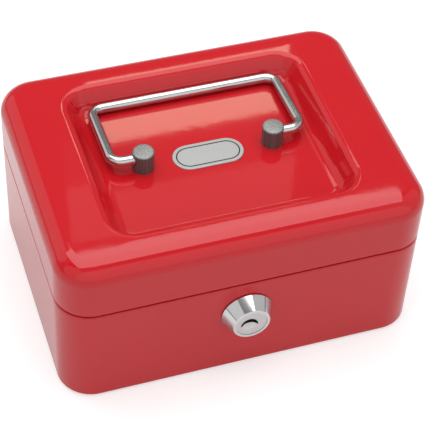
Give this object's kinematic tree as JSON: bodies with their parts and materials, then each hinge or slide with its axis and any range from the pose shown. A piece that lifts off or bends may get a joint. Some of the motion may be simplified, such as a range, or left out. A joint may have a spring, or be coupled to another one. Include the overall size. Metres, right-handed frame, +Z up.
{
  "type": "cash box",
  "caption": "Small enamelled steel cash box with a hinged lid, a cam lock, a folding wire handle in a lid recess and a lift-out coin tray.",
  "frame": {"origin": "centre of the base's flat underside", "axes": "+X to the right as seen from the lock, -Y the front with the lock, +Z up"},
  "size_m": [0.152, 0.127, 0.075],
  "materials": {
    "red_enamel": "gloss enamel",
    "chrome": "polished",
    "satin_chrome": "satin",
    "chromed_wire": "polished",
    "post_steel": "turned",
    "zinc_steel": "zinc plated",
    "brass": "stamped",
    "black_plastic": "fine grain",
    "badge_aluminium": "satin"
  },
  "bodies": {
    "base": {"base_shell": "red_enamel", "tray_ledge_left": "red_enamel", "tray_ledge_right": "red_enamel", "hinge_base_leaf_left": "zinc_steel", "hinge_base_leaf_right": "zinc_steel", "hinge_pin_left": "zinc_steel", "hinge_pin_right": "zinc_steel", "hinge_base_rivets": "zinc_steel", "lock_body": "chrome", "lock_nut": "zinc_steel", "lock_washer": "zinc_steel"},
    "lid": {"lid_shell": "red_enamel", "hinge_lid_leaf_left": "zinc_steel", "hinge_lid_leaf_right": "zinc_steel", "hinge_lid_rivets": "zinc_steel", "handle_post_left": "post_steel", "handle_post_right": "post_steel", "handle_screws": "zinc_steel", "handle_washers": "zinc_steel", "lock_keeper": "zinc_steel", "badge_plate": "badge_aluminium"},
    "handle": {"carry_handle": "chromed_wire"},
    "lock": {"lock_plug": "satin_chrome", "lock_wafers": "brass", "lock_cam": "zinc_steel", "cam_washer": "zinc_steel", "cam_screw": "zinc_steel"},
    "tray": {"coin_tray": "black_plastic"}
  },
  "joints": [
    {"name": "lid_hinge", "type": "hinge", "parent": "base", "child": "lid", "pos_m": [0, 0.0603, 0.0496], "axis": [-1, 0, 0], "range_deg": [0, 105]},
    {"name": "handle_swing", "type": "hinge", "parent": "lid", "child": "handle", "pos_m": [0, 0, 0.0714], "axis": [1, 0, 0], "range_deg": [0, 189]},
    {"name": "lock_turn", "type": "hinge", "parent": "base", "child": "lock", "pos_m": [-0.001, -0.055, 0.0327], "axis": [0, 1, 0], "range_deg": [0, 90]},
    {"name": "tray_lift", "type": "slide", "parent": "base", "child": "tray", "axis": [0, 0, 1], "range_m": [0, 0.013]}
  ]
}
